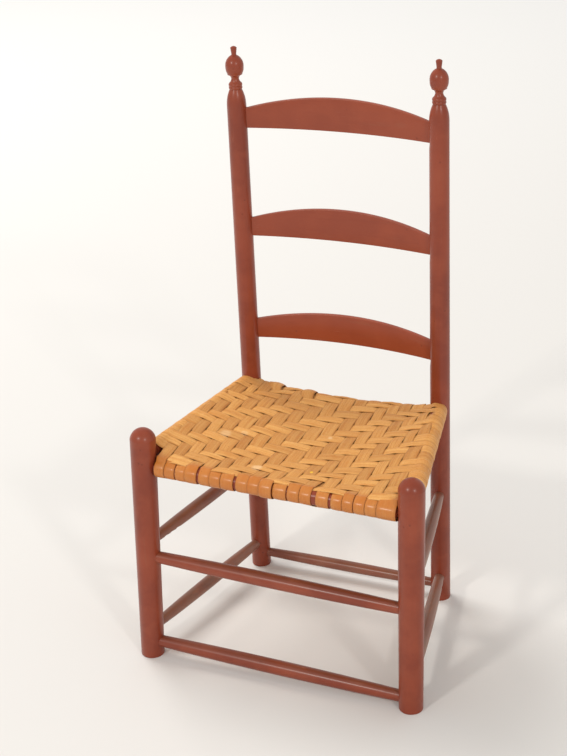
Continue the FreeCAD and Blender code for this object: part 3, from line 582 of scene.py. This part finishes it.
def warpStrip(work, layers, number, chance):
    places = np.array([place for place, _ in profile])
    shares = np.linspace(0.0, 1.0, rows * seat["fine"] + 1)
    underShares = np.linspace(1.0, 0.0, rows * seat["coarse"] + 1)
    closed = number not in shortWarps
    if closed:
        stations = wholeRound(shares, underShares, ("front", "back"))
    else:
        reach = (shortWarps[number] - weaveFront) / weaveDepth
        stations = [("under", value) for value in underShares[underShares <= reach][:-1]]
        stations += [("front", value) for value in np.linspace(0.0, math.pi, seat["turn"] + 1)[:-1]]
        stations += [("top", value) for value in shares[shares <= reach]]
    middle = np.zeros((len(stations), len(places), 3))
    lifts = np.zeros((len(stations), len(places)))
    wrapped = np.zeros(len(stations))
    # About how far back each station lies.
    ends = {"front": warpStations[0], "back": warpStations[-1]}
    about = np.array([ends[part] if part in ends else mixed(weaveFront, weaveBack, value)
                      for part, value in stations])
    left, right = warpEdge(number, 0, about), warpEdge(number, 1, about)
    half = (right - left) / 2 + wobble(chance, about, *seat["cutWaves"])
    centre = (left + right) / 2 + wobble(chance, about, *seat["warpWaves"])
    radius = seat["radius"]
    lean = wobble(chance, about, *seat["tiltWaves"])
    shiftFrom, shiftOver = seat["shift"]
    proudFrom, proudOver = seat["proud"]
    nearFront = seat["nearFront"]
    arch = 1.0 - 0.45 * places ** 2
    for step, (part, value) in enumerate(stations):
        x = centre[step] + places * half[step]
        if part == "back" or (part == "top" and value > shiftFrom):
            aside = mixed(*backShift.get(number, (0.0, 0.0)), (places + 1.0) / 2.0)
            x = x + aside * (1.0 if part == "back" else eased((value - shiftFrom) / shiftOver))
        frontY, frontZ = frontAxis(x)
        backY, backZ = backAxis(x)
        if part in ("top", "under"):
            side = 1 if part == "top" else -1
            y = mixed(frontY, backY, value)
            limit = np.abs(sideAxis(x, y)[0]) - seat["inside"]
            x = np.clip(x, -limit, limit)
            z = seatHeight(x, y, side)
            row = rowAt(np.full_like(x, centre[step]), np.full_like(x, y.mean()))
            lift = woven(number, row, side, True, rows) * seat["rise"] + lean[step] * places
            beside = np.minimum(np.minimum(y - frontY, backY - y), np.abs(limit) + seat["inside"] - np.abs(x))
            lifts[step] = clearOfRail(lift, beside)
            wrapped[step] = 1.0 - min(value / nearFront, 1.0)
            if side > 0:
                lifts[step] += proudBack.get(number, 0.0) * arch * eased((value - proudFrom) / proudOver)
                lifts[step] += proudFront.get(number, 0.0) * eased((nearFront - value) / nearFront) * 0.5
        elif part == "front":
            y = frontY - radius * math.sin(value)
            z = frontZ - radius * math.cos(value)
            lifts[step] = proudFront.get(number, 0.0) * math.sin(value * 0.75)
            wrapped[step] = 1.0
        else:
            y = backY + radius * math.sin(value)
            z = backZ + radius * math.cos(value)
            lifts[step] = proudBack.get(number, 0.0) * arch * math.cos(value / 2.0)
            wrapped[step] = 0.4
        middle[step] = np.stack([x, y, z], axis=1)
    # The weave's lift fades out over the rails' crests instead of stopping there.
    lifts[1:-1] = smoothed(lifts)
    if not closed:
        lifts[-3:] = np.minimum(lifts[-3:], -seat["rise"])
    stripMesh(work, layers, middle, lifts, half, wrapped, chance.random(), closed)


def weftStrip(work, layers, number, chance, only=None):
    # A whole band, or only its top or its underside.
    places = np.array([place for place, _ in profile])
    shares = np.linspace(-1.0, 1.0, len(warps) * seat["fine"] + 1)
    underShares = np.linspace(1.0, -1.0, len(warps) * seat["coarse"] + 1)
    closed = only is None
    if closed:
        stations = wholeRound(shares, underShares, ("left", "right"))
    else:
        low, high = firstRow[only]
        kept = shares if only == "top" else underShares
        stations = [(only, value) for value in kept if low < value < high]
    share = np.array([{"top": value, "under": value}.get(part, -1.0 if part == "left" else 1.0)
                      for part, value in stations])
    front = np.interp(share, weftShares, weftEdges[number]) + seat["gap"]
    back = np.interp(share, weftShares, weftEdges[number + 1]) - seat["gap"]
    across = share * seat["halfWidth"]
    half = (back - front) / 2 + wobble(chance, across, *seat["cutWaves"])
    # Round the side rails the strips lie close together, each second one a little over its neighbours.
    tightFrom, tightOver, spread = seat["together"]
    tight = eased((np.abs(share) - tightFrom) / tightOver)
    half = half + tight * spread
    overlap = tight * (seat["overRail"] if number % 2 else 0.0)
    centre = (front + back) / 2 + wobble(chance, across, *seat["weftWaves"])
    middle = np.zeros((len(stations), len(places), 3))
    lifts = np.zeros((len(stations), len(places)))
    wrapped = np.zeros(len(stations))
    radius = seat["radius"]
    lean = wobble(chance, across, *seat["tiltWaves"])
    varnish = seat["sideVarnish"]
    for step, (part, value) in enumerate(stations):
        y = centre[step] - places * half[step]
        left, right = railAt(seat["leftRail"], 1, y), railAt(seat["rightRail"], 1, y)
        if part in ("top", "under"):
            side = 1 if part == "top" else -1
            x = value * np.where(value < 0, -left[0], right[0])
            z = seatHeight(x, y, side)
            column = columnAt(np.full_like(y, x.mean()), np.full_like(y, centre[step]))
            lift = woven(number, column, side, False, len(warps)) * seat["rise"] + lean[step] * places
            lifts[step] = clearOfRail(lift, np.abs(sideAxis(x, y)[0]) - np.abs(x)) + overlap[step]
            wrapped[step] = varnish - varnish * min((1.0 - abs(value)) / seat["nearSide"], 1.0)
        else:
            rail = left if part == "left" else right
            turned = -1.0 if part == "left" else 1.0
            x = rail[0] + turned * radius * math.sin(value)
            z = rail[2] + turned * radius * math.cos(value)
            lifts[step] = overlap[step]
            wrapped[step] = varnish
        middle[step] = np.stack([x, y, z], axis=1)
    lifts[1:-1] = smoothed(lifts)
    if only == "top":
        # Its right end is tucked under its neighbour.
        tucked = np.clip((np.arange(len(stations)) - len(stations) + 5) / 4.0, 0.0, 1.0)
        lifts -= (tucked * seat["tuck"])[:, None]
    stripMesh(work, layers, middle, lifts, half, wrapped, chance.random(), closed)


splint = {
    "light": colour(229, 172, 98),
    "main": colour(214, 148, 76),
    "dark": colour(181, 112, 52),
    "brown": colour(152, 92, 44),
    "amber": colour(193, 110, 30),
    "pale": colour(240, 206, 158),
    # Dark brown for dirt flecks, and for painted shade along strip edges and under crossings.
    "dirtAndShade": colour(92, 52, 26),
    "yellow": colour(240, 196, 60),
}

# Marks on the seat: place from above in metres, reach, colour and how strong it is.
marks = [
    ((0.040, -0.085), 0.0035, "yellow", 0.85),
    ((-0.048, -0.101), 0.011, "pale", 0.55),
    ((0.026, 0.030), 0.0055, "pale", 0.5),
    ((-0.137, -0.028), 0.010, "pale", 0.35),
    ((-0.110, -0.012), 0.008, "pale", 0.3),
    ((0.031, -0.096), 0.002, "yellow", 0.6),
]


def splintMaterial(name, shade):
    shader = Shader(name)
    length, across, _ = shader.parts(shader.uv("grain"))
    tone, wrapped, _ = shader.parts(shader.uv("mark"))
    place, lift, _ = shader.parts(shader.uv("spot"))
    fibres = shader.noise(shader.joined(length * 26.0, across * 1500.0, tone * 90.0), detail=3.0,
                          roughness=0.6)
    streaks = shader.noise(shader.joined(length * 9.0, across * 420.0, tone * 70.0), detail=3.0)
    bands = shader.noise(shader.joined(length * 5.0, across * 110.0, tone * 50.0), detail=2.0)
    blotches = shader.noise(shader.joined(length * 22.0, across * 60.0, tone * 40.0), detail=3.0,
                            roughness=0.6)
    tint = shader.mix(streaks.between(0.34, 0.66), splint["main"], splint["light"])
    tint = shader.mix(bands.between(0.5, 0.72) * 0.4, tint, splint["dark"])
    tint = shader.mix(fibres.between(0.55, 0.75) * 0.35, tint, splint["dark"])
    # Short rays of the wood, as fine speckles.
    rays = shader.noise(shader.joined(length * 330.0, across * 1300.0, tone * 60.0), detail=2.0)
    tint = shader.mix(rays.between(0.54, 0.7) * 0.3, tint, splint["brown"])
    tint = shader.mix(rays.between(0.32, 0.46) * -0.22 + 0.22, tint, splint["pale"])
    tint = shader.mix(blotches.between(0.55, 0.75) * 0.3, tint, splint["amber"])
    tint = shader.mix(shade + (tone - 0.5) * 0.3, tint, splint["brown"])
    varnish = wrapped * (blotches * 0.9 + 0.32)
    tint = shader.mix(varnish, tint, splint["amber"])
    # Darker along the edges, partly dirt and partly painted shade in the gaps between strips, and painted
    # shade where a strip dives under its neighbour.
    edge = abs(place).between(0.8, 1.0)
    # Painted shade: darker where the strip sinks under its neighbour.
    low = (0.0 - lift).between(0.1, 1.0)
    tint = shader.mix(edge * 0.25 + low * 0.3, tint, splint["dirtAndShade"])
    whole = shader.place()
    for (x, y), reach, ink, strength in marks:
        away = shader.vector("MULTIPLY", shader.vector("SUBTRACT", whole, (x, y, 0.0)), (1.0, 1.0, 0.0))
        ragged = shader.length(away) / reach + (blotches - 0.5) * 1.2
        tint = shader.mix((1.0 - ragged.between(0.5, 1.1)) * strength, tint, splint[ink])
    flecks = shader.cells(shader.joined(length * 60.0, across * 90.0, tone * 30.0), 1.0)
    tint = shader.mix((1.0 - flecks.between(0.03, 0.1)) * 0.35, tint, splint["dirtAndShade"])
    roughness = 0.5 + streaks * 0.14 - wrapped * 0.1 + blotches * 0.08
    height = fibres * 0.5 + streaks * 0.8 + bands * 0.6
    bump = shader.bump(height, 0.4, 0.0005)
    return shader.finish(Base_Color=tint, Roughness=roughness, Normal=bump, Coat_Weight=wrapped * 0.45 + 0.03,
                         Coat_Roughness=0.24, Specular_IOR_Level=0.35)


def makeSeat():
    chance = random.Random(seat["seed"])
    work = bmesh.new()
    layers = newLayers(work)
    for number in range(len(warps)):
        warpStrip(work, layers, number, chance)
    saveMesh(work, makePiece("woven_warps", "seat_warp_splints", splintMaterial("splintWarps", 0.3)))
    work = bmesh.new()
    layers = newLayers(work)
    weftStrip(work, layers, 0, chance, "top")
    weftStrip(work, layers, 0, chance, "under")
    for number in range(1, rows):
        weftStrip(work, layers, number, chance)
    saveMesh(work, makePiece("woven_wefts", "seat_weft_splints", splintMaterial("splintWefts", 0.14)))


makeSeat()


# Camera, floor and light.

view = {
    "place": (0.9730, -2.2294, 1.6330),
    "right": (0.9183, 0.3934, -0.0453),
    "up": (-0.1317, 0.4114, 0.9019),
    "lens": 79.53,
    "sensor": 36.0,
    "clipEnd": 60.0,
    "aim": (0.0, 0.0, 0.4),
    "floorHalf": 15.0,
    "floorNear": colour(222, 220, 217),
    "floorFar": colour(250, 250, 249),
    "fade": (0.8, 7.0),
    "daylight": (1.0, 0.985, 0.965, 1.0),
    "world": 0.68,
}

# Each lamp: its place, its size, its power, its colour and whether paint and varnish mirror it.
lamps = {
    "windowLamp": ((-3.4, 1.8, 5.0), (3.0, 3.0), 200.0, (1.0, 0.98, 0.95), False),
    "leftLamp": ((-1.8, -5.2, 4.4), (0.6, 0.55), 104.0, (1.0, 0.96, 0.9), True),
    "rightLamp": ((4.6, -4.0, 3.8), (0.6, 0.55), 80.0, (1.0, 0.97, 0.93), True),
}


def makeCamera():
    camera = bpy.data.objects.new("camera", bpy.data.cameras.new("camera"))
    bpy.context.scene.collection.objects.link(camera)
    right = Vector(view["right"]).normalized()
    up = Vector(view["up"])
    up = (up - right * up.dot(right)).normalized()
    turned = Matrix((right, up, right.cross(up))).transposed().to_4x4()
    camera.matrix_world = Matrix.Translation(Vector(view["place"])) @ turned
    camera.data.lens = view["lens"]
    camera.data.sensor_width = view["sensor"]
    camera.data.clip_end = view["clipEnd"]
    bpy.context.scene.camera = camera


def makeLamp(name, place, size, power, warmth, mirrored):
    lamp = bpy.data.objects.new(name, bpy.data.lights.new(name, "AREA"))
    bpy.context.scene.collection.objects.link(lamp)
    lamp.data.shape = "RECTANGLE"
    lamp.data.size, lamp.data.size_y = size
    lamp.data.energy = power
    lamp.data.color = warmth
    lamp.visible_glossy = mirrored
    lamp.location = place
    lamp.rotation_mode = "QUATERNION"
    lamp.rotation_quaternion = (Vector(view["aim"]) - Vector(place)).to_track_quat("-Z", "Y")


def makeStage():
    mesh = bpy.data.meshes.new("floor")
    work = bmesh.new()
    bmesh.ops.create_grid(work, x_segments=1, y_segments=1, size=view["floorHalf"])
    work.to_mesh(mesh)
    work.free()
    floor = bpy.data.objects.new("floor", mesh)
    bpy.context.scene.collection.objects.link(floor)
    shader = Shader("floorPaint")
    fade = shader.length(shader.place()).between(*view["fade"])
    tint = shader.mix(fade, view["floorNear"], view["floorFar"])
    mesh.materials.append(shader.finish(Base_Color=tint, Roughness=0.9, Specular_IOR_Level=0.1))
    world = bpy.data.worlds.new("studio")
    world.use_nodes = True
    bpy.context.scene.world = world
    background = world.node_tree.nodes["Background"]
    background.inputs["Color"].default_value = view["daylight"]
    background.inputs["Strength"].default_value = view["world"]


makeCamera()
makeStage()
for name, (place, size, power, warmth, mirrored) in lamps.items():
    makeLamp(name, place, size, power, warmth, mirrored)
bpy.context.scene.view_settings.view_transform = "Standard"
print("camera, floor and lamps are set")
